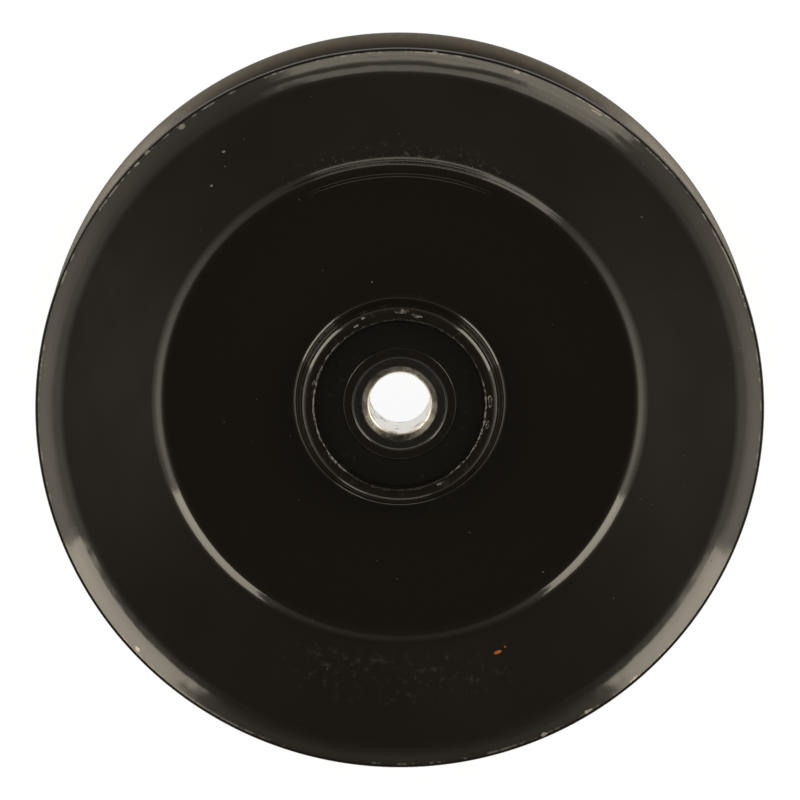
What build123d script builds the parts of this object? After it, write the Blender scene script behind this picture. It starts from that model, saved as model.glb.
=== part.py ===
"""Stamped rope sheave with a captured, sealed ball bearing.

Two dished steel stampings lie back to back and form the rope groove between them. Each has a
drawn cup at its middle, and the two cups hold the bearing's outer ring. A steel sleeve pressed
into the inner ring takes the sheave's pin. The axis is Z, the sheave lies on the rim of its far
flange, and the origin is on the axis in the plane that the rim rests on. Millimetres.
"""
from build123d import *
from math import cos, radians, tan
import os

# ---- flanges ----
rim_r = 100.0            # outer radius of both flanges
half_width = 19.5        # from the joint of the stampings to the top of a rim
sheet = 2.0              # thickness of the stamped sheet
rim_rounding = 0.45      # dulled edges of the trimmed rim
lip_inner_width = 3.4    # flared lip: first part, along the radius
lip_outer_width = 3.7    # and the steeper part that ends at the rim
lip_inner_slope = 31.0   # slopes of the two parts, degrees from the web's plane
lip_outer_slope = 41.0
crease_bend = 2.6        # bend radius between flank and lip
lip_bend = 7.0           # bend radius within the lip
web_edge_r = 64.8        # corner between flat web and shoulder
shoulder_width = 2.1     # steep shoulder, along the radius
shoulder_rise = 2.0      # and along the axis
shoulder_bend = 4.4      # bend radius of both its corners
cup_base_bend = 2.2      # bend from the web into the drawn cup
mouth_overlap = 2.3      # how far the mouth covers the bearing's outer ring

# ---- bearing ----
bearing_bore_r = 12.5
bearing_r = 26.0
bearing_width = 15.0
ball_d = 7.938
ball_count = 9
race_gap = 0.03          # running clearance between a ball and each raceway
race_conformity = 1.04   # radius of a raceway over that of a ball
shoulder_height = 1.949  # of both rings, above the bottom of the raceway
inner_step_depth = 1.55  # ends of the inner ring turned down for the seals, along the radius
inner_step = 2.4         # and along the axis
seal_seat_wall = 2.85    # outer ring around the seat of a seal
ring_chamfer = 1.2       # outer corners of the outer ring, which fill the cup's inner bend
bore_chamfer = 0.7       # bore corners of the inner ring
edge_chamfer = 0.35      # outer corners of the inner ring

# ---- seals ----
seal_t = 1.15
seal_inset = 0.35        # face of the seal below the face of the rings
seal_gap = 0.06          # between the seal's lip and the turning inner ring
bead_width = 1.2         # beads moulded along the seal's outer and inner edges
bead_height = 0.2

# ---- cage ----
cage_sheet = 0.7
cage_clearance = 0.95    # between the ribbon and the shoulders of the rings
pocket_gap = 0.12        # between a ball and its pocket
rivet_r = 0.45
rivet_head_r = 0.85
rivet_head = 0.3

# ---- sleeve ----
pin_r = 8.5              # bore for the sheave's pin
sleeve_inset = 0.3       # near end below the face of the inner ring
sleeve_length = 21.4     # the far end stands out of the bearing as a spacer
sleeve_bevel = 1.9       # bevel at each end of the bore, along the radius
sleeve_bevel_depth = 1.1

# ---- derived ----
joint_z = half_width     # joint of the stampings above the resting plane
cup_r = bearing_r + sheet
cup_height = bearing_width / 2 + sheet
mouth_r = bearing_r - mouth_overlap
rim_corner_z = half_width + rim_rounding * (1 / cos(radians(lip_outer_slope)) + tan(radians(lip_outer_slope)) - 1)
ball_r = ball_d / 2
race_r = ball_r * race_conformity
pitch_r = (bearing_bore_r + bearing_r) / 2
inner_race_bottom = pitch_r - ball_r - race_gap
outer_race_bottom = pitch_r + ball_r + race_gap
inner_land_r = inner_race_bottom + shoulder_height
outer_land_r = outer_race_bottom - shoulder_height
inner_step_r = inner_land_r - inner_step_depth
seal_seat_r = bearing_r - seal_seat_wall
seal_seat = seal_inset + seal_t
seal_bore_r = inner_step_r + seal_gap
pocket_r = ball_r + pocket_gap
cage_inner_r = inner_land_r + cage_clearance
cage_outer_r = outer_land_r - cage_clearance

section = Plane(origin=(0, 0, joint_z), x_dir=(1, 0, 0), z_dir=(0, -1, 0))
joint = Plane.XY.offset(joint_z)
parts = []


def finish(name, builder):
    """Label a finished piece and keep it for the export."""
    builder.part.label = name
    parts.append(builder.part)


def stamping(side):
    """A flange, from the cup's mouth to the trimmed rim; side is 1 near and -1 far."""
    outer_rise = tan(radians(lip_outer_slope))
    lip_turn = (rim_r - lip_outer_width, rim_corner_z - lip_outer_width * outer_rise)
    crease = (lip_turn[0] - lip_inner_width, lip_turn[1] - lip_inner_width * tan(radians(lip_inner_slope)))
    face = [
        (mouth_r, cup_height),
        (cup_r, cup_height),
        (cup_r, sheet),
        (web_edge_r, sheet),
        (web_edge_r + shoulder_width, sheet + shoulder_rise),
        crease,
        lip_turn,
        (rim_r + sheet, rim_corner_z + sheet * outer_rise),
    ]
    bends = [sheet + ring_chamfer, cup_base_bend, shoulder_bend, shoulder_bend, crease_bend, lip_bend]
    with BuildPart() as flange:
        with BuildSketch(section):
            with BuildLine():
                FilletPolyline(*face, radius=bends)
                offset(amount=sheet, side=Side.RIGHT)
            make_face()
            with Locations((rim_r, rim_corner_z)):
                trim = 2 * (sheet + sheet * outer_rise)
                Rectangle(2 * trim, 2 * trim, align=(Align.MIN, Align.CENTER), mode=Mode.SUBTRACT)
        revolve(axis=Axis.Z)
        rims = flange.edges().filter_by(GeomType.CIRCLE).sort_by(lambda edge: edge.radius)[-2:]
        fillet(rims, radius=rim_rounding)
        if side < 0:
            mirror(about=joint, mode=Mode.REPLACE)
    return flange


finish("near_flange", stamping(1))
finish("far_flange", stamping(-1))

# ---- bearing rings ----
with BuildPart() as outer_ring:
    with BuildSketch(section):
        with Locations(((outer_land_r + bearing_r) / 2, 0)):
            Rectangle(bearing_r - outer_land_r, bearing_width)
        with Locations((outer_race_bottom - race_r, 0)):
            Circle(race_r, mode=Mode.SUBTRACT)
        for end in (1, -1):
            with Locations(((outer_land_r + seal_seat_r) / 2, end * (bearing_width - seal_seat) / 2)):
                Rectangle(seal_seat_r - outer_land_r, seal_seat, mode=Mode.SUBTRACT)
    revolve(axis=Axis.Z)
    corners = outer_ring.edges().filter_by(GeomType.CIRCLE).group_by(lambda edge: edge.radius)[-1]
    chamfer(corners, length=ring_chamfer)
finish("bearing_outer_ring", outer_ring)

with BuildPart() as inner_ring:
    with BuildSketch(section):
        with Locations(((bearing_bore_r + inner_land_r) / 2, 0)):
            Rectangle(inner_land_r - bearing_bore_r, bearing_width)
        with Locations((inner_race_bottom + race_r, 0)):
            Circle(race_r, mode=Mode.SUBTRACT)
        for end in (1, -1):
            with Locations(((inner_step_r + inner_land_r) / 2, end * (bearing_width - inner_step) / 2)):
                Rectangle(inner_land_r - inner_step_r, inner_step, mode=Mode.SUBTRACT)
    revolve(axis=Axis.Z)
    ends = inner_ring.faces().filter_by(GeomType.PLANE).sort_by(Axis.Z)
    for end_face in (ends[0], ends[-1]):
        rings = end_face.edges().sort_by(lambda edge: edge.radius)
        chamfer(rings[0], length=bore_chamfer)
        chamfer(rings[-1], length=edge_chamfer)
finish("bearing_inner_ring", inner_ring)

# ---- balls ----
for index, spot in enumerate(PolarLocations(pitch_r, ball_count), start=1):
    with BuildPart(joint) as ball:
        with Locations(spot):
            Sphere(ball_r)
    finish(f"ball_{index}", ball)


# ---- cage: two pressed ribbons, riveted between the balls ----
def ribbon(side):
    """One half of the cage: a flat ring with a pocket pressed out for each ball."""
    with BuildPart(joint) as half:
        with PolarLocations(pitch_r, ball_count):
            Sphere(pocket_r + cage_sheet)
        Cylinder(cage_outer_r, cage_sheet, align=(Align.CENTER, Align.CENTER, Align.MIN))
        with PolarLocations(pitch_r, ball_count):
            Sphere(pocket_r, mode=Mode.SUBTRACT)
        with BuildSketch(joint):
            Circle(cage_outer_r)
            Circle(cage_inner_r, mode=Mode.SUBTRACT)
        extrude(amount=pocket_r + 2 * cage_sheet, mode=Mode.INTERSECT)
        with PolarLocations(pitch_r, ball_count, start_angle=180 / ball_count):
            Cylinder(rivet_r, 4 * cage_sheet, mode=Mode.SUBTRACT)
        if side < 0:
            mirror(about=joint, mode=Mode.REPLACE)
    return half


finish("cage_near", ribbon(1))
finish("cage_far", ribbon(-1))

with BuildPart(joint) as rivets:
    with PolarLocations(pitch_r, ball_count, start_angle=180 / ball_count):
        Cylinder(rivet_r, 2 * cage_sheet)
    for end in (1, -1):
        with Locations((0, 0, end * (cage_sheet + rivet_head / 2))):
            with PolarLocations(pitch_r, ball_count, start_angle=180 / ball_count):
                Cylinder(rivet_head_r, rivet_head)
finish("cage_rivets", rivets)


# ---- seals ----
def seal(side):
    """A moulded seal: a flat washer with a raised bead along each edge."""
    face_z = bearing_width / 2 - seal_inset
    with BuildPart() as washer:
        with BuildSketch(section):
            with Locations(((seal_bore_r + seal_seat_r) / 2, side * (face_z - seal_t / 2))):
                Rectangle(seal_seat_r - seal_bore_r, seal_t)
            for edge_r in (seal_bore_r + bead_width / 2, seal_seat_r - bead_width / 2):
                with Locations((edge_r, side * (face_z + bead_height / 2))):
                    Rectangle(bead_width, bead_height)
        revolve(axis=Axis.Z)
    return washer


finish("seal_near", seal(1))
finish("seal_far", seal(-1))

# ---- sleeve ----
sleeve_top = bearing_width / 2 - sleeve_inset
with BuildPart() as sleeve:
    with BuildSketch(section):
        with Locations(((pin_r + bearing_bore_r) / 2, sleeve_top - sleeve_length / 2)):
            Rectangle(bearing_bore_r - pin_r, sleeve_length)
    revolve(axis=Axis.Z)
    mouths = sleeve.edges().filter_by(GeomType.CIRCLE).group_by(lambda edge: edge.radius)[0]
    for mouth in mouths.sort_by(Axis.Z):
        end_face = sleeve.faces().filter_by(GeomType.PLANE).sort_by_distance(mouth.arc_center)[0]
        chamfer(mouth, length=sleeve_bevel, length2=sleeve_bevel_depth, reference=end_face)
finish("bore_sleeve", sleeve)

os.makedirs("parts", exist_ok=True)
for part in parts:
    export_step(part, f"parts/{part.label}.step")
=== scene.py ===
"""Stamped rope sheave: enamelled flanges round a sealed bearing with a bare steel sleeve."""
from math import acos, cos, pi, radians, sin, sqrt, tan

import bpy
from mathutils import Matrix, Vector


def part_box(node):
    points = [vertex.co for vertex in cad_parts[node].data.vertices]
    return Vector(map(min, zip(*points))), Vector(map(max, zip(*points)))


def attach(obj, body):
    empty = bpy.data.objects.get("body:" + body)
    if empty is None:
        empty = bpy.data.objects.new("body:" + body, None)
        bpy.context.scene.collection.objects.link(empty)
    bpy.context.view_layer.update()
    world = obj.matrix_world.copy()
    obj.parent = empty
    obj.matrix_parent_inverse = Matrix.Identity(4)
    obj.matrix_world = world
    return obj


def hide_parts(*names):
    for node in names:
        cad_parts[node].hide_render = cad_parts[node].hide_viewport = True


bl_info = {
    "name": "Rope sheave",
    "version": (1, 0, 0),
    "blender": (4, 5, 0),
    "location": "View3D > Sidebar > Sheave",
    "description": "Builds the visible pieces of a stamped rope sheave around its solid model",
    "category": "Object",
}

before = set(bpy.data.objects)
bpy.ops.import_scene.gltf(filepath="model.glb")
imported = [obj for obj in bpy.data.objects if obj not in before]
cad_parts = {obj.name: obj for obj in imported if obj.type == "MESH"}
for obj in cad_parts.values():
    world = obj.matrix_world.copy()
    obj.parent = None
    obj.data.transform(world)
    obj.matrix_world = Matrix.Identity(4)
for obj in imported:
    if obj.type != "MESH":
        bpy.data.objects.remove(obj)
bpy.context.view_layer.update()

MM = 0.001


def in_mm(*values):
    """These lengths in millimetres, as metres."""
    return tuple(value * MM for value in values)


AXIS_STEPS = 288
SAME_PLACE = 1e-6
SMOOTH_BELOW = radians(32)
FLANGE_HIGH = Vector(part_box("near_flange")[1])
RING_LOW, RING_HIGH = (Vector(corner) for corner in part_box("bearing_outer_ring"))
SEAL_LOW, SEAL_HIGH = (Vector(corner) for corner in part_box("seal_near"))
SLEEVE_LOW, SLEEVE_HIGH = (Vector(corner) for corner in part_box("bore_sleeve"))
RIM_R, RIM_TOP = FLANGE_HIGH.x, FLANGE_HIGH.z
JOINT_Z = (RING_LOW.z + RING_HIGH.z) / 2
BEARING_R, BEARING_TOP = RING_HIGH.x, RING_HIGH.z

# The pressed section, measured from the joint between the flanges
MOUTH_R = BEARING_R - 2.3 * MM
MOUTH_EDGE, MOUTH_BACK_EDGE = 0.35 * MM, 0.25 * MM
CUP_BASE_BEND = 2.2 * MM
WEB_EDGE_R = 65.3 * MM
SHOULDER_WIDTH, SHOULDER_RISE = 2.5 * MM, 2.0 * MM
SHOULDER_FOOT_BEND, SHOULDER_TOP_BEND = 3.8 * MM, 8.0 * MM
LIP_INNER, LIP_OUTER = 3.4 * MM, 3.7 * MM
CREASE_BEND, LIP_BEND = 12.0 * MM, 20.0 * MM

# The bearing and its sleeve
BROKEN_EDGE = 0.20 * MM
RING_CHAMFER = 1.2 * MM
SEAL_BORE_R, SEAL_BEAD, SEAL_BEAD_RISE = 15.71 * MM, 1.2 * MM, 0.2 * MM
SEAL_FACE_BEND, SEAL_BEAD_BEND, SEAL_EDGE = 2.0 * MM, 0.8 * MM, 0.12 * MM
BORE_R, BEVEL_WIDTH, BEVEL_DEPTH = 8.5 * MM, 1.9 * MM, 1.1 * MM
BEVEL_FOOT_BEND, BEVEL_TOP_BEND = 0.35 * MM, 0.30 * MM
INNER_BORE_R, BORE_CHAMFER = SLEEVE_HIGH.x, 0.7 * MM
STEP_R, STEP_DEPTH, STEP_BEND = 15.65 * MM, 2.4 * MM, 0.45 * MM
LAND_R, LAND_EDGE = 17.2 * MM, 0.15 * MM
RACE_R, RACE_CENTRE_R, RACE_STEPS = 4.128 * MM, 19.379 * MM, 16

# The bead of paint: how far out of the mouth and below the cup's top its middle lies, and its lumps
BEAD_OUT, BEAD_DROP, LUMP_SIZE = 0.15 * MM, 0.22 * MM, 1.3 * MM

# Chips in the near flange's enamel: direction in degrees, radius and size in mm, length over width
CHIPS = (
    (127.2, 98.3, 0.85, 1.3), (134.0, 99.3, 0.42, 2.0), (136.6, 98.9, 0.38, 2.6), (130.2, 79.8, 0.30, 1.2),
    (124.3, 85.5, 0.28, 1.6), (71.2, 98.9, 0.52, 1.8), (84.5, 99.3, 0.42, 2.0), (56.8, 98.3, 0.36, 5.0),
    (-137.3, 98.4, 0.45, 2.2), (-58.1, 98.9, 0.42, 4.0), (-49.0, 99.0, 0.36, 4.0), (-66.0, 99.0, 0.34, 3.0),
    (112.5, 26.2, 0.20, 2.6), (119.0, 25.0, 0.20, 3.4), (103.0, 34.0, 0.20, 1.0), (77.5, 25.3, 0.16, 4.0),
)
# Rust where a scratch has gone through to the steel
RUST = ((-68.7, 75.0, 0.42, 2.6), (-66.9, 74.4, 0.26, 1.5))
# Runs of paint round the mouth of the cup: direction in degrees, radius, length, width and height in mm
PAINT_RUNS = (
    (89.0, 26.1, 4.4, 1.3, 0.30), (80.0, 25.2, 2.6, 0.9, 0.22), (2.0, 24.9, 3.4, 1.0, 0.28),
    (-13.0, 24.8, 2.4, 0.8, 0.24), (-63.0, 24.6, 2.2, 0.8, 0.22), (166.0, 24.5, 2.0, 0.8, 0.22),
)


# Bands of the enamel: the rubbed band and the rim's edge band are worn, and the shoulder's band carries a
# painted highlight at its top; the radii where each starts, is full, starts to fade and ends
RUBBED_BAND = in_mm(69, 73, 81, 86)
SHOULDER_HIGHLIGHT_BAND = in_mm(65.5, 67, 70, 74)
EDGE_BAND = tuple(RIM_R - depth for depth in in_mm(1.30, 1.08, 0.84, 0.66))
# Lines that the pressing tool left on the web, painted lighter only at the top as painted highlight lines:
# radius, and half of the width where it ends and is full
TOOL_LINE_HIGHLIGHTS = (in_mm(62.5, 0.16, 0.07), in_mm(63.3, 0.13, 0.06))

# Colours of dust and stains; the bead's dust colour also paints its highlight
EDGE_DUST = (0.17, 0.15, 0.12)
FILM_DUST = (0.13, 0.12, 0.10)
BEAD_BLACK, BEAD_DUST_AND_HIGHLIGHT = (0.010, 0.0085, 0.0065), (0.16, 0.14, 0.115)
SEAL_INSIDE = (0.012, 0.011, 0.010)
STEEL_STAIN = (0.30, 0.27, 0.23)
BEVEL_DARK, BEVEL_PALE = (0.060, 0.058, 0.054), (0.16, 0.155, 0.145)

# The stage: camera, lamps and room
CAMERA_TILT, CAMERA_REACH = radians(9.35), 2.0296
CAMERA_SENSOR, CAMERA_LENS = 36, 333
AIM_RIGHT, AIM_UP, AIM_UNDER_RIM = in_mm(0.08, 2.93, 0.5)
WHITE, GREY_ROOM, WARM_LIGHT = (1, 1, 1), (0.62, 0.62, 0.62), (1.0, 0.90, 0.74)
# Name, direction and elevation in degrees, width and height in metres, radiance
SOFTBOXES = (
    ("left_softbox", 151, 24, 0.50, 0.50, 5.0),
    ("right_softbox", 29, 24, 0.56, 0.50, 5.0),
    ("front_card_low", -99, 6.5, 0.92, 0.19, 2.5),
    ("front_card_high", -98, 24, 0.84, 0.11, 2.0),
    ("front_card_side", -114, 16, 0.24, 0.17, 2.2),
)
# Light of the dome by the sine of its elevation
DOME_LEVELS = (
    (0.0, 0.80), (0.14, 0.85), (0.36, 0.75), (0.47, 0.47), (0.70, 0.12), (0.82, 0.045), (0.95, 0.022),
)


# ---------------------------------------------------------------- sizes and colours
class SheaveSizes(bpy.types.PropertyGroup):
    """Sizes of the sheet metal and the paint that a maker would change."""
    sheet: bpy.props.FloatProperty(
        name="Sheet", description="Thickness of the stamped sheet", default=2.0 * MM, unit="LENGTH")
    rounding: bpy.props.FloatProperty(
        name="Rim rounding", description="Radius of the dulled edges of the rim", default=0.45 * MM,
        unit="LENGTH")
    inner_slope: bpy.props.FloatProperty(
        name="Lip slope", description="Slope of the lip's first part", default=radians(31), subtype="ANGLE")
    outer_slope: bpy.props.FloatProperty(
        name="Edge slope", description="Slope of the lip at the rim", default=radians(41), subtype="ANGLE")
    paint_bead: bpy.props.FloatProperty(
        name="Paint bead", description="Radius of the bead of paint on the mouth of the cup",
        default=0.27 * MM, unit="LENGTH")


class SheaveColours(bpy.types.PropertyGroup):
    """Colours of the finishes."""
    enamel: bpy.props.FloatVectorProperty(
        name="Enamel", description="Black enamel of the flanges", default=(0.0072, 0.0058, 0.0040),
        subtype="COLOR", size=3, min=0, max=1)
    # Also the colour of the painted highlights at the top of the shoulder and on the web's tool lines
    scuff_and_highlight: bpy.props.FloatVectorProperty(
        name="Scuff", description="Dusty brown of rubbed enamel", default=(0.050, 0.038, 0.026),
        subtype="COLOR", size=3, min=0, max=1)
    chip: bpy.props.FloatVectorProperty(
        name="Chip", description="Grey steel under chipped enamel", default=(0.27, 0.245, 0.21),
        subtype="COLOR", size=3, min=0, max=1)
    rust: bpy.props.FloatVectorProperty(
        name="Rust", description="Orange rust in a scratch", default=(0.30, 0.085, 0.020),
        subtype="COLOR", size=3, min=0, max=1)
    rubber: bpy.props.FloatVectorProperty(
        name="Rubber", description="Black seals under a film of paint", default=(0.0052, 0.0044, 0.0034),
        subtype="COLOR", size=3, min=0, max=1)
    bare_steel: bpy.props.FloatVectorProperty(
        name="Bare steel", description="Turned steel of the sleeve", default=(0.82, 0.79, 0.73),
        subtype="COLOR", size=3, min=0, max=1)
    bearing_steel: bpy.props.FloatVectorProperty(
        name="Bearing steel", description="Ground steel of rings, balls and cage", default=(0.50, 0.50, 0.49),
        subtype="COLOR", size=3, min=0, max=1)


# ---------------------------------------------------------------- modelling
def only(obj):
    """Select this object alone and make it active."""
    bpy.ops.object.select_all(action="DESELECT")
    obj.select_set(True)
    bpy.context.view_layer.objects.active = obj


def pick_rings(obj, rings):
    """In edit mode, select the edges that lie along circles of these (radius, height) pairs."""
    bpy.ops.mesh.select_all(action="DESELECT")
    bpy.ops.object.mode_set(mode="OBJECT")
    mesh = obj.data
    on_ring = [
        any(abs(vert.co.z - height) < SAME_PLACE and abs(vert.co.xy.length - radius) < SAME_PLACE
            for radius, height in rings)
        for vert in mesh.vertices
    ]
    for edge in mesh.edges:
        first, second = edge.vertices
        edge.select = on_ring[first] and on_ring[second]
    bpy.ops.object.mode_set(mode="EDIT")


def turned(name, corners, segments=8):
    """A closed body turned about the axis, from (radius, height, bend radius) corners of its section."""
    bpy.ops.object.select_all(action="DESELECT")
    radius, height, _ = corners[0]
    bpy.ops.mesh.primitive_circle_add(
        vertices=AXIS_STEPS, radius=radius, fill_type="NOTHING", location=(0, 0, 0))
    obj = bpy.context.active_object
    obj.name = name
    bpy.ops.object.mode_set(mode="EDIT")
    bpy.ops.mesh.select_mode(type="EDGE")
    bpy.ops.mesh.select_all(action="SELECT")
    bpy.ops.transform.translate(value=(0, 0, height))
    for next_radius, next_height, _ in corners[1:]:
        bpy.ops.mesh.extrude_region_move(TRANSFORM_OT_translate={"value": (0, 0, next_height - height)})
        scale = next_radius / radius
        bpy.ops.transform.resize(value=(scale, scale, 1))
        radius, height = next_radius, next_height
    pick_rings(obj, [corners[0][:2], corners[-1][:2]])
    bpy.ops.mesh.bridge_edge_loops()
    count = len(corners)
    for index, (radius, height, bend) in enumerate(corners):
        if not bend:
            continue
        before = Vector(corners[index - 1][:2]) - Vector((radius, height))
        after = Vector(corners[(index + 1) % count][:2]) - Vector((radius, height))
        half_turn = (pi - before.angle(after)) / 2
        pick_rings(obj, [(radius, height)])
        bpy.ops.mesh.bevel(offset=bend * tan(half_turn), segments=segments, profile=0.5, affect="EDGES")
    close_up(obj)
    return obj


def close_up(obj):
    """Turn every face of the mesh that is being edited outwards, leave edit mode and shade it smooth."""
    bpy.ops.mesh.select_all(action="SELECT")
    bpy.ops.mesh.normals_make_consistent(inside=False)
    bpy.ops.object.mode_set(mode="OBJECT")
    only(obj)
    bpy.ops.object.shade_smooth_by_angle(angle=SMOOTH_BELOW)


def far_copy(obj, name):
    """A copy with its own mesh, mirrored through the joint between the flanges."""
    copy = obj.copy()
    copy.data = obj.data.copy()
    copy.name = name
    bpy.context.scene.collection.objects.link(copy)
    only(copy)
    bpy.ops.object.mode_set(mode="EDIT")
    bpy.ops.mesh.select_all(action="SELECT")
    bpy.ops.transform.translate(value=(0, 0, -JOINT_Z))
    bpy.ops.transform.resize(value=(1, 1, -1), center_override=(0, 0, 0))
    bpy.ops.transform.translate(value=(0, 0, JOINT_Z))
    close_up(copy)
    return copy


def offset_corner(before, corner, after, distance):
    """The corner of a wall's other face, a distance to the right of the path through three points."""
    first = (Vector(corner) - Vector(before)).normalized()
    second = (Vector(after) - Vector(corner)).normalized()
    right = Vector((first.y + second.y, -first.x - second.x)).normalized()
    return Vector(corner) + right * (distance / right.dot(Vector((second.y, -second.x))))


def flange_section(sizes):
    """Corners of the near stamping's section, once round, with the bend at each."""
    sheet, slope = sizes.sheet, sizes.outer_slope
    half = RIM_TOP - JOINT_Z
    # The rim's sharp corner stands above the rounded edge, which just reaches the top of the solid rim
    top = half + sizes.rounding * (1 / cos(slope) + tan(slope) - 1)
    edge_bevel = (top - half) / (1 + sin(slope) - sqrt(1 + sin(slope) ** 2)) * tan((pi / 2 - slope) / 2)
    cup_z = BEARING_TOP - JOINT_Z + sheet
    turn = (RIM_R - LIP_OUTER, top - LIP_OUTER * tan(slope))
    crease = (turn[0] - LIP_INNER, turn[1] - LIP_INNER * tan(sizes.inner_slope))
    path = [
        ((MOUTH_R, cup_z), 0),
        ((BEARING_R + sheet, cup_z), sheet + RING_CHAMFER),
        ((BEARING_R + sheet, sheet), CUP_BASE_BEND),
        ((WEB_EDGE_R, sheet), SHOULDER_FOOT_BEND),
        ((WEB_EDGE_R + SHOULDER_WIDTH, sheet + SHOULDER_RISE), SHOULDER_TOP_BEND),
        (crease, CREASE_BEND),
        (turn, LIP_BEND),
        ((RIM_R, top), 0),
    ]
    points = [point for point, _ in path]
    face = [(MOUTH_R, cup_z, MOUTH_EDGE)]
    face += [(*point, bend) for point, bend in path[1:-1]]
    face += [(*points[-1], edge_bevel * 1.01)]
    back = [(MOUTH_R, cup_z - sheet, MOUTH_BACK_EDGE)]
    for index in range(1, len(path) - 1):
        point = offset_corner(points[index - 1], points[index], points[index + 1], sheet)
        first = Vector(points[index]) - Vector(points[index - 1])
        second = Vector(points[index + 1]) - Vector(points[index])
        inside = first.cross(second) > 0
        back.append((point.x, point.y, path[index][1] + (sheet if inside else -sheet)))
    back.append((RIM_R, top - sheet / cos(slope), sizes.rounding))
    return [(r, JOINT_Z + z, bend) for r, z, bend in face + back[::-1]]


def adopt(piece, node, body):
    """Let a piece stand for a solid of the frame, moving with its body."""
    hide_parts(node)
    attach(piece, body)


# ---------------------------------------------------------------- shader wiring
class Wire:
    """One output of a shader node; arithmetic on it adds Math nodes."""

    def __init__(self, tree, socket=None):
        self.tree = tree
        self.socket = socket

    def add(self, kind, settings=None, sockets=None, output=0):
        """Any node: its settings first, then the values or links of its sockets."""
        node = self.tree.nodes.new(kind)
        for name, value in (settings or {}).items():
            if name == "stops":
                while len(node.color_ramp.elements) < len(value):
                    node.color_ramp.elements.new(0.5)
                for element, (position, level) in zip(node.color_ramp.elements, value):
                    element.position = position
                    element.color = (level, level, level, 1)
            else:
                setattr(node, name, value)
        for key, value in (sockets or {}).items():
            if isinstance(value, Wire):
                self.tree.links.new(value.socket, node.inputs[key])
            else:
                node.inputs[key].default_value = value
        return Wire(self.tree, node.outputs[output] if node.outputs else None)

    def math(self, operation, *values):
        return self.add("ShaderNodeMath", {"operation": operation}, dict(enumerate(values)))

    def __add__(self, other):
        return self.math("ADD", self, other)

    def __sub__(self, other):
        return self.math("SUBTRACT", self, other)

    def __rsub__(self, other):
        return self.math("SUBTRACT", other, self)

    def __mul__(self, other):
        return self.math("MULTIPLY", self, other)

    def __truediv__(self, other):
        return self.math("DIVIDE", self, other)

    def __pow__(self, other):
        return self.math("POWER", self, other)

    __radd__ = __add__
    __rmul__ = __mul__

    def larger(self, other):
        return self.math("MAXIMUM", self, other)

    def band(self, edges):
        """1 between the middle two of these four values, easing to 0 at the outer two."""
        start, full, fade, end = edges
        return self.ease(start, full) * self.ease(end, fade)

    def size(self):
        return self.math("ABSOLUTE", self)

    def ease(self, low, high):
        """0 at low and 1 at high, smooth between them; low may be the larger."""
        if low < high:
            return self.add("ShaderNodeMapRange", {"interpolation_type": "SMOOTHSTEP"},
                            {"Value": self, "From Min": low, "From Max": high})
        return 1 - self.ease(high, low)

    def vector(self, operation, *values):
        """A Vector Math node, with its number where the operation gives one."""
        output = "Value" if operation in ("LENGTH", "DOT_PRODUCT") else 0
        return self.add("ShaderNodeVectorMath", {"operation": operation}, dict(enumerate(values)), output)

    def noise(self, scale, detail=2.0, roughness=0.5):
        return self.add("ShaderNodeTexNoise", None,
                        {"Vector": self, "Scale": scale, "Detail": detail, "Roughness": roughness})

    def blend(self, first, second):
        """The first colour where this mask is 0 and the second where it is 1."""
        colours = [value if isinstance(value, Wire) else (*value, 1) for value in (first, second)]
        return self.add("ShaderNodeMix", {"data_type": "RGBA"}, {0: self, 6: colours[0], 7: colours[1]}, 2)


class Finish:
    """A new material, with the places that patterns are laid out by."""

    def __init__(self, name):
        self.material = bpy.data.materials.new(name)
        self.material.use_nodes = True
        self.tree = self.material.node_tree
        self.place = Wire(self.tree).add("ShaderNodeTexCoord", output="Object")
        self.flat = self.place.vector("MULTIPLY", self.place, (1, 1, 0))
        self.radius = self.flat.vector("LENGTH", self.flat)
        self.x, self.y, self.z = (
            self.place.add("ShaderNodeSeparateXYZ", None, {0: self.place}, axis) for axis in range(3))
        self.turn = self.y.math("ARCTAN2", self.y, self.x)

    def specks(self, scale, size, share):
        """Dots of dust: cells of this many to the metre, of which a share holds a dot."""
        cells = {"Vector": self.place, "Scale": scale}
        distance = self.place.add("ShaderNodeTexVoronoi", None, cells)
        colour = self.place.add("ShaderNodeTexVoronoi", None, cells, 1)
        level = self.place.add("ShaderNodeSeparateXYZ", None, {0: colour}, 0)
        return distance.ease(size, size * 0.5) * level.ease(1 - share, 1 - share * 0.9)

    def marks(self, places, ragged):
        """Ragged marks at (direction, radius, size, length over width) places."""
        total = None
        for direction, radius, size, stretch in places:
            turn = radians(direction)
            away = (cos(turn), sin(turn), 0)
            centre = tuple(radius * MM * part for part in away)
            offset = self.flat.vector("SUBTRACT", self.flat, centre)
            across = offset.vector("DOT_PRODUCT", offset, away)
            along = offset.vector("DOT_PRODUCT", offset, (-away[1], away[0], 0)) / stretch
            mark = ((across ** 2 + along ** 2) ** 0.5 + ragged).ease(size * MM, size * MM * 0.75)
            total = mark if total is None else total.larger(mark)
        return total

    def bump(self, height):
        """A normal from a height in metres."""
        return height.add("ShaderNodeBump", None, {"Strength": 1.0, "Distance": 1.0, "Height": height})

    def feed(self, sockets):
        """Link these wires to the shader's sockets."""
        shader = self.tree.nodes["Principled BSDF"]
        for name, wire in sockets.items():
            self.tree.links.new(wire.socket, shader.inputs[name])

    def wear(self, obj):
        """Lay the material on the object."""
        obj.data.materials.clear()
        obj.data.materials.append(self.material)


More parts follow.
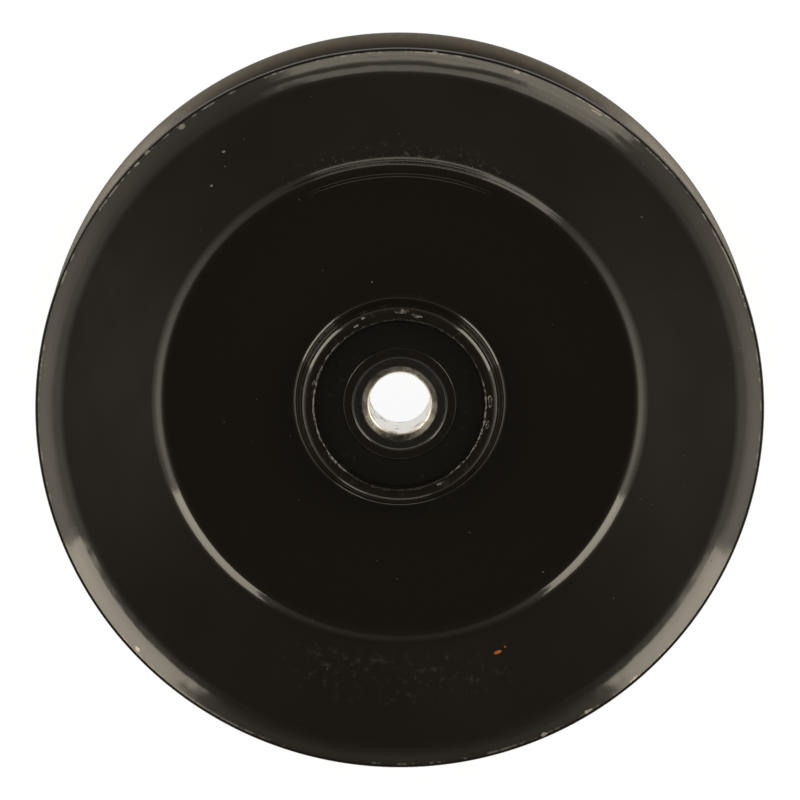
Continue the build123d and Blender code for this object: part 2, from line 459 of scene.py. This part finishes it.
def enamel_finish(piece, name, colours, near, seed):
    """Gloss black enamel, wavy, with dust and scuffs, worn at the rim, and with painted highlights at the top
    of the shoulder and on the web's tool lines; the near flange has chips and rust.
    """
    coat = Finish(name)
    here = coat.place.vector("ADD", coat.place, (seed, 0.3 * seed, 0.7 * seed))
    drift = here.noise(17, 3)
    wave = here.noise(30, 1.5)
    dents = here.noise(75, 2)
    peel = here.noise(1100, 2)
    grain = here.noise(420, 5, 0.62)
    upward = coat.y / coat.radius

    # The dish faces away from the joint, and the wall of the groove faces it
    normal = coat.place.add("ShaderNodeTexCoord", output="Normal")
    to_joint = coat.place.add("ShaderNodeSeparateXYZ", None, {0: normal}, 2) * (-1.0 if near else 1.0)
    face = to_joint.ease(0.20, -0.05)
    groove = to_joint.ease(0.05, 0.30) * coat.radius.ease(70 * MM, 90 * MM)
    groove_edge = groove * coat.radius.ease(96.2 * MM, 100.2 * MM) * (0.5 + 0.6 * grain)

    # Wear down to the steel
    lip_top = coat.z.ease(RIM_TOP - 2.2 * MM, RIM_TOP - 1.2 * MM) if near else coat.z.ease(2.2 * MM, 1.2 * MM)
    patchy = (0.6 * grain + 0.4 * here.noise(60, 3)).ease(0.49, 0.58)
    edge_wear = coat.radius.band(EDGE_BAND) * lip_top * patchy * (0.45 + 0.55 * upward.ease(-0.2, 0.6))

    # Scuffs and dust on the face, and painted highlights at the top of the shoulder and on the web's tool
    # lines
    rubbed = upward.ease(-0.88, -0.97) * face * coat.radius.band(RUBBED_BAND) \
        * here.noise(420, 6, 0.72).ease(0.53, 0.68)
    # Painted highlight: the top of the shoulder made lighter and rougher in patches, where it catches the
    # light
    shoulder_highlight = upward.ease(0.84, 0.96) * face * coat.radius.band(SHOULDER_HIGHLIGHT_BAND) \
        * here.noise(640, 5, 0.7).ease(0.55, 0.66)
    # The tool lines are painted lighter only at the top, where they catch the light: painted highlight lines
    lines = [(coat.radius - radius).size().ease(end, full) for radius, end, full in TOOL_LINE_HIGHLIGHTS]
    tool_line_highlights = lines[0].larger(lines[1]) * upward.ease(0.90, 0.97) * face
    haze = coat.radius.ease(66 * MM, 72 * MM) * drift.ease(0.35, 0.75)
    hub_dust = coat.radius.ease(34 * MM, 26 * MM) * grain.ease(0.56, 0.68)
    dust = coat.specks(150, 0.05, 0.20).larger(coat.specks(330, 0.07, 0.10) * 0.7)

    enamel, scuff_and_highlight = tuple(colours.enamel), tuple(colours.scuff_and_highlight)
    # Scuffs and dust, plus the painted highlights of the shoulder's top and of the tool lines
    scuffs_and_highlights = haze * 0.05 + rubbed * 0.32 + hub_dust * 0.22 + shoulder_highlight * 0.5 + tool_line_highlights * 0.9
    colour = scuffs_and_highlights.blend(enamel, scuff_and_highlight)
    colour = (groove * 0.18).blend(colour, scuff_and_highlight)
    colour = (dust * 0.45).larger(groove_edge * 0.62).blend(colour, EDGE_DUST)
    bare = edge_wear * 0.75
    if near:
        ragged = (grain - 0.5) * (1.4 * MM)
        bare = bare.larger(coat.marks(CHIPS, ragged) * face)
        rust = coat.marks(RUST, ragged * 0.5) * face
        colour = rust.blend(colour, tuple(colours.rust))
    colour = bare.blend(colour, tuple(colours.chip))

    dull_edge = coat.radius.ease(RIM_R - 0.30 * MM, RIM_R - 0.10 * MM)
    on_lip = coat.radius.ease(89 * MM, 95 * MM)
    height = (wave - 0.5) * (0.42 * MM) + (dents - 0.5) * (on_lip * 0.11 + 0.05) * MM + peel * (0.0032 * MM)
    coat.feed({
        "Base Color": colour,
        "Roughness": 0.09 + haze * 0.05 + (rubbed + shoulder_highlight) * 0.22 + dust * 0.3 + bare * 0.25
        + hub_dust * 0.15 + groove * 0.16 + dull_edge * 0.42,
        "Metallic": bare * 0.5,
        "Normal": coat.bump(height),
    })
    coat.wear(piece)


def film_finish(piece, name, colour, inner_colour, dusting, metal):
    """A thin uneven film of black paint over a face, with the piece's own material inside the bearing."""
    film = Finish(name)
    grain = film.place.noise(520, 5, 0.6)
    inside = (film.z - JOINT_Z).size().ease(7.2 * MM, 6.8 * MM)
    dust = (film.specks(520, 0.10, 0.22) + grain.ease(0.60, 0.72) * 0.35) * dusting
    painted = dust.blend(colour, FILM_DUST)
    film.feed({
        "Base Color": inside.blend(painted, inner_colour),
        "Roughness": 0.12 + grain * 0.14 + dust * 0.3 - inside * 0.06,
        "Metallic": inside * metal,
        "Normal": film.bump(grain * (0.010 * MM) + film.place.noise(160, 2) * (0.05 * MM)),
    })
    film.wear(piece)


def steel_finish(name, colour, roughness, scale):
    """Ground steel with faint clouds and fine marks, for many pieces to wear."""
    steel = Finish(name)
    cloud = steel.place.noise(scale, 4, 0.6)
    steel.feed({
        "Base Color": cloud.ease(0.3, 0.7).blend(tuple(0.8 * part for part in colour), tuple(colour)),
        "Roughness": roughness + cloud * 0.14,
        "Normal": steel.bump(cloud * (0.004 * MM)),
    })
    steel.tree.nodes["Principled BSDF"].inputs["Metallic"].default_value = 1.0
    return steel


def sleeve_finish(piece, colours):
    """Bare turned steel in the bore and on its bevels, black paint on the ends and round the bevel's edge."""
    sleeve = Finish("sleeve_bore_steel")
    grain = sleeve.place.noise(700, 5, 0.65)
    patches = sleeve.place.noise(240, 3)
    edge = BORE_R + BEVEL_WIDTH
    painted = (sleeve.radius + (patches - 0.5) * (1.1 * MM)).ease(edge - 0.05 * MM, edge + 0.25 * MM)
    along = sleeve.place.add("ShaderNodeCombineXYZ", None, {
        0: sleeve.turn * 6.0, 1: sleeve.radius * 5200, 2: sleeve.z * 2400})
    tooling = along.noise(1.0, 3)
    stain = patches.ease(0.52, 0.70)
    bare = stain.blend(tuple(colours.bare_steel), STEEL_STAIN)
    bevel = sleeve.radius.ease(BORE_R + 0.05 * MM, BORE_R + 0.60 * MM)
    dull = (patches * 0.5 + grain * 0.5).ease(0.38, 0.62).blend(BEVEL_DARK, BEVEL_PALE)
    bare = bevel.blend(bare, dull)
    sleeve.feed({
        "Base Color": painted.blend(bare, tuple(colours.enamel)),
        "Roughness": 0.27 + grain * 0.22 + stain * 0.12,
        "Metallic": 1 - painted,
        "Normal": sleeve.bump((tooling + grain) * (0.020 * MM)),
    })
    sleeve.wear(piece)


def bead_finish(piece, cup_top):
    """Enamel of the paint bead: lighter in rough spots, mostly on its lower left and right sides as a painted
    highlight, and with dust on its runs.
    """
    drips = Finish(piece.name + "_enamel")
    grain = drips.place.noise(900, 4)
    # Lower left and right of the mouth, where the bead is painted lighter as its highlight
    sides = (drips.x / drips.radius).size().ease(0.50, 0.80) * (drips.y / drips.radius).ease(0.55, 0.15)
    top = cup_top - JOINT_Z
    risen = (drips.z - JOINT_Z).size().ease(top + 0.03 * MM, top + 0.14 * MM)
    runs = risen * drips.radius.ease(MOUTH_R + 0.5 * MM, MOUTH_R + 0.9 * MM)
    dust_and_highlight = (grain.ease(0.42, 0.58) * (0.08 + 0.92 * sides)).larger(runs * grain.ease(0.40, 0.60) * 0.8)
    drips.feed({
        "Base Color": dust_and_highlight.blend(BEAD_BLACK, BEAD_DUST_AND_HIGHLIGHT),
        "Roughness": 0.13 + grain * 0.12 + dust_and_highlight * 0.15,
        "Normal": drips.bump(grain * (0.03 * MM)),
    })
    drips.wear(piece)


# ---------------------------------------------------------------- the sheave's pieces
class SHEAVE_OT_flanges(bpy.types.Operator):
    """Turn the near flange, mirror it for the far one and enamel both"""
    bl_idname = "sheave.flanges"
    bl_label = "Flanges"

    def execute(self, context):
        scene = context.scene
        near = turned("enamelled_near_flange", flange_section(scene.sheave_sizes))
        far = far_copy(near, "enamelled_far_flange")
        adopt(near, "near_flange", "sheave")
        adopt(far, "far_flange", "sheave")
        enamel_finish(near, "black_enamel_near", scene.sheave_colours, True, 0.0)
        enamel_finish(far, "black_enamel_far", scene.sheave_colours, False, 3.7)
        return {"FINISHED"}


class SHEAVE_OT_paint_beads(bpy.types.Operator):
    """Lay the rough bead of paint on the mouth of each cup, with its runs"""
    bl_idname = "sheave.paint_beads"
    bl_label = "Paint beads"

    def execute(self, context):
        scene = context.scene
        size = scene.sheave_sizes.paint_bead
        cup_top = BEARING_TOP + scene.sheave_sizes.sheet
        bpy.ops.object.select_all(action="DESELECT")
        bpy.ops.mesh.primitive_torus_add(
            major_radius=MOUTH_R + BEAD_OUT, minor_radius=size, major_segments=720, minor_segments=10,
            location=(0, 0, cup_top - BEAD_DROP))
        bead = context.active_object
        bead.name = "paint_bead_near"
        parts = [bead]
        for direction, radius, length, width, height in PAINT_RUNS:
            turn = radians(direction)
            bpy.ops.mesh.primitive_uv_sphere_add(
                segments=32, ring_count=16, radius=0.5 * MM,
                location=(radius * MM * cos(turn), radius * MM * sin(turn), cup_top),
                rotation=(0, 0, turn), scale=(width, length, 2 * height))
            parts.append(context.active_object)
        bpy.ops.object.select_all(action="DESELECT")
        for part in parts:
            part.select_set(True)
        context.view_layer.objects.active = bead
        bpy.ops.object.join()
        bpy.ops.object.transform_apply(location=True, rotation=True, scale=True)
        lumps = bpy.data.textures.new("paint_lumps", "CLOUDS")
        lumps.noise_scale = LUMP_SIZE
        lumps.noise_depth = 2
        rough = bead.modifiers.new("lumps", "DISPLACE")
        rough.texture = lumps
        rough.texture_coords = "LOCAL"
        rough.strength = 2.0 * size
        rough.mid_level = 0.5
        bpy.ops.object.modifier_apply(modifier=rough.name)
        bpy.ops.object.mode_set(mode="EDIT")
        close_up(bead)
        far = far_copy(bead, "paint_bead_far")
        for piece in (bead, far):
            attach(piece, "sheave")
            bead_finish(piece, cup_top)
        return {"FINISHED"}


class SHEAVE_OT_seals(bpy.types.Operator):
    """Turn the rubber seals with their outer beads"""
    bl_idname = "sheave.seals"
    bl_label = "Seals"

    def execute(self, context):
        colours = context.scene.sheave_colours
        outer, face = SEAL_HIGH.x, SEAL_HIGH.z - SEAL_BEAD_RISE
        near = turned("rubber_seal_near", [
            (SEAL_BORE_R, SEAL_LOW.z, 0), (SEAL_BORE_R, face, BROKEN_EDGE),
            (outer - 2 * SEAL_BEAD, face, SEAL_FACE_BEND),
            (outer - 0.6 * SEAL_BEAD, SEAL_HIGH.z, SEAL_BEAD_BEND), (outer, SEAL_HIGH.z, SEAL_EDGE),
            (outer, SEAL_LOW.z, 0)], 4)
        far = far_copy(near, "rubber_seal_far")
        for piece, node in ((near, "seal_near"), (far, "seal_far")):
            adopt(piece, node, "sheave")
            film_finish(piece, piece.name + "_film", tuple(colours.rubber), SEAL_INSIDE, 0.14, 0.0)
        return {"FINISHED"}


class SHEAVE_OT_inner_ring(bpy.types.Operator):
    """Turn the inner ring with its raceway and the rounded shoulders that stand inside the seals"""
    bl_idname = "sheave.inner_ring"
    bl_label = "Inner ring"

    def execute(self, context):
        colours = context.scene.sheave_colours
        low, high = RING_LOW.z, RING_HIGH.z
        edges = [
            (INNER_BORE_R + BORE_CHAMFER, high, BROKEN_EDGE), (STEP_R, high, STEP_BEND),
            (STEP_R, high - STEP_DEPTH, 0), (LAND_R, high - STEP_DEPTH, LAND_EDGE)]
        half = acos((RACE_CENTRE_R - LAND_R) / RACE_R)
        turns = [half * (1 - 2 * step / RACE_STEPS) for step in range(RACE_STEPS + 1)]
        race = [(RACE_CENTRE_R - RACE_R * cos(turn), JOINT_Z + RACE_R * sin(turn), 0) for turn in turns]
        near_bore = [(INNER_BORE_R, high - BORE_CHAMFER, BROKEN_EDGE)]
        mirrored = [(r, low + high - z, bend) for r, z, bend in near_bore + edges]
        piece = turned("ground_inner_ring", near_bore + edges + race + mirrored[::-1], 4)
        adopt(piece, "bearing_inner_ring", "inner")
        film_finish(piece, "inner_ring_film", tuple(colours.enamel), tuple(colours.bearing_steel), 0.16, 1.0)
        return {"FINISHED"}


class SHEAVE_OT_sleeve(bpy.types.Operator):
    """Turn the bare steel sleeve of the bore"""
    bl_idname = "sheave.sleeve"
    bl_label = "Sleeve"

    def execute(self, context):
        low, high, outer, lip = SLEEVE_LOW.z, SLEEVE_HIGH.z, SLEEVE_HIGH.x, BORE_R + BEVEL_WIDTH
        piece = turned("turned_bore_sleeve", [
            (BORE_R, high - BEVEL_DEPTH, BEVEL_FOOT_BEND), (lip, high, BEVEL_TOP_BEND),
            (outer, high, BROKEN_EDGE), (outer, low, BROKEN_EDGE),
            (lip, low, BEVEL_TOP_BEND), (BORE_R, low + BEVEL_DEPTH, BEVEL_FOOT_BEND)], 4)
        adopt(piece, "bore_sleeve", "inner")
        sleeve_finish(piece, context.scene.sheave_colours)
        return {"FINISHED"}


class SHEAVE_OT_bearing(bpy.types.Operator):
    """Finish the outer ring, the balls and the riveted cage of the bearing"""
    bl_idname = "sheave.bearing"
    bl_label = "Bearing"

    def execute(self, context):
        colours = context.scene.sheave_colours
        steel, paint = tuple(colours.bearing_steel), tuple(colours.enamel)
        film_finish(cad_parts["bearing_outer_ring"], "outer_ring_film", paint, steel, 0.16, 1.0)
        balls = steel_finish("polished_balls", steel, 0.05, 500)
        cage = steel_finish("pressed_cage", tuple(0.8 * part for part in steel), 0.30, 900)
        for node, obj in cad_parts.items():
            if node.startswith("ball_"):
                balls.wear(obj)
            elif node.startswith("cage_"):
                cage.wear(obj)
        return {"FINISHED"}


# ---------------------------------------------------------------- stage
def softbox(name, direction, elevation, width, height, radiance):
    """A lit panel one metre from the hub: direction and elevation in degrees, sizes in metres."""
    turn, climb = radians(direction), radians(elevation)
    data = bpy.data.lights.new(name, "AREA")
    data.shape = "RECTANGLE"
    data.size, data.size_y = width, height
    data.energy = radiance * pi * width * height
    data.color = WARM_LIGHT
    lamp = bpy.data.objects.new(name, data)
    bpy.context.scene.collection.objects.link(lamp)
    hub = Vector((0, 0, JOINT_Z))
    lamp.location = hub + Vector((cos(climb) * cos(turn), cos(climb) * sin(turn), sin(climb)))
    lamp.rotation_mode = "QUATERNION"
    lamp.rotation_quaternion = (hub - lamp.location).to_track_quat("-Z", "Y")
    lamp.visible_camera = False


def seen_white(tree):
    """Two masks: rays straight from the camera, and rays that are mirrored or passed through."""
    start = Wire(tree)
    rays = [start.add("ShaderNodeLightPath", output=name)
            for name in ("Is Camera Ray", "Is Glossy Ray", "Is Transmission Ray")]
    return rays[0], rays[1].larger(rays[2])


def place_camera(scene):
    """Look down on the near flange from a little towards +Y."""
    data = bpy.data.cameras.new("camera")
    data.sensor_width = CAMERA_SENSOR
    data.lens = CAMERA_LENS
    camera = bpy.data.objects.new("camera", data)
    scene.collection.objects.link(camera)
    target = Vector((AIM_RIGHT, AIM_UP / cos(CAMERA_TILT), RIM_TOP - AIM_UNDER_RIM))
    camera.location = target + CAMERA_REACH * Vector((0, sin(CAMERA_TILT), cos(CAMERA_TILT)))
    camera.rotation_euler = (-CAMERA_TILT, 0, 0)
    scene.camera = camera


def lay_floor():
    """White paper that keeps a faint shadow of the sheave."""
    bpy.ops.object.select_all(action="DESELECT")
    bpy.ops.mesh.primitive_plane_add(size=12, location=(0, 0, 0))
    floor = bpy.context.active_object
    floor.name = "floor"
    paper = bpy.data.materials.new("white_paper")
    paper.use_nodes = True
    tree = paper.node_tree
    shader = tree.nodes["Principled BSDF"]
    shader.inputs["Base Color"].default_value = (0.92, 0.92, 0.92, 1)
    shader.inputs["Roughness"].default_value = 0.9
    straight, mirrored = seen_white(tree)
    glow = straight.add("ShaderNodeEmission", None, {"Color": (*WHITE, 1), "Strength": 1.06})
    matte = Wire(tree, shader.outputs[0])
    mix = straight.add("ShaderNodeMixShader", None, {0: straight.larger(mirrored) * 0.88, 1: matte, 2: glow})
    tree.links.new(mix.socket, tree.nodes["Material Output"].inputs["Surface"])
    floor.data.materials.append(paper)


def hang_dome(scene):
    """Plain white to the camera, even grey as soft light and, mirrored, a warm dome lit low at both sides."""
    world = bpy.data.worlds.new("studio")
    scene.world = world
    world.use_nodes = True
    tree = world.node_tree
    straight, mirrored = seen_white(tree)
    way = straight.add("ShaderNodeTexCoord", output="Generated")
    across, along, climb = (way.add("ShaderNodeSeparateXYZ", None, {0: way}, axis) for axis in range(3))
    sideways = across ** 2 / (across ** 2 + along ** 2 + 0.0001)
    level = climb.add("ShaderNodeValToRGB", {"stops": DOME_LEVELS}, {0: climb})
    strength = (0.17 + 0.83 * sideways ** 2).larger(climb.ease(0.60, 0.95)) * 3.0
    shade = way.vector("SCALE", level)
    tree.links.new(strength.socket, shade.socket.node.inputs["Scale"])
    dome = way.vector("MULTIPLY", shade, WARM_LIGHT)
    sky = straight.blend(mirrored.blend(GREY_ROOM, dome), WHITE)
    tree.links.new(sky.socket, tree.nodes["Background"].inputs["Color"])


class SHEAVE_OT_stage(bpy.types.Operator):
    """Set the camera, the floor, the dome and the softboxes"""
    bl_idname = "sheave.stage"
    bl_label = "Stage"

    def execute(self, context):
        scene = context.scene
        scene.view_settings.view_transform = "Standard"
        place_camera(scene)
        lay_floor()
        hang_dome(scene)
        for settings in SOFTBOXES:
            softbox(*settings)
        return {"FINISHED"}


class SHEAVE_PT_panel(bpy.types.Panel):
    """Lists the steps that build the sheave"""
    bl_idname = "SHEAVE_PT_panel"
    bl_label = "Rope sheave"
    bl_space_type = "VIEW_3D"
    bl_region_type = "UI"
    bl_category = "Sheave"

    def draw(self, context):
        for step in STEPS:
            self.layout.operator(step.bl_idname)


STEPS = (SHEAVE_OT_flanges, SHEAVE_OT_paint_beads, SHEAVE_OT_seals, SHEAVE_OT_inner_ring, SHEAVE_OT_sleeve,
         SHEAVE_OT_bearing, SHEAVE_OT_stage)
CLASSES = (SheaveSizes, SheaveColours, *STEPS, SHEAVE_PT_panel)


def register():
    for cls in CLASSES:
        bpy.utils.register_class(cls)
    bpy.types.Scene.sheave_sizes = bpy.props.PointerProperty(type=SheaveSizes)
    bpy.types.Scene.sheave_colours = bpy.props.PointerProperty(type=SheaveColours)


def unregister():
    del bpy.types.Scene.sheave_colours
    del bpy.types.Scene.sheave_sizes
    for cls in reversed(CLASSES):
        bpy.utils.unregister_class(cls)


def main():
    register()
    bpy.ops.sheave.flanges()
    bpy.ops.sheave.paint_beads()
    bpy.ops.sheave.seals()
    bpy.ops.sheave.inner_ring()
    bpy.ops.sheave.sleeve()
    bpy.ops.sheave.bearing()
    bpy.ops.sheave.stage()


if __name__ == "__main__":
    main()
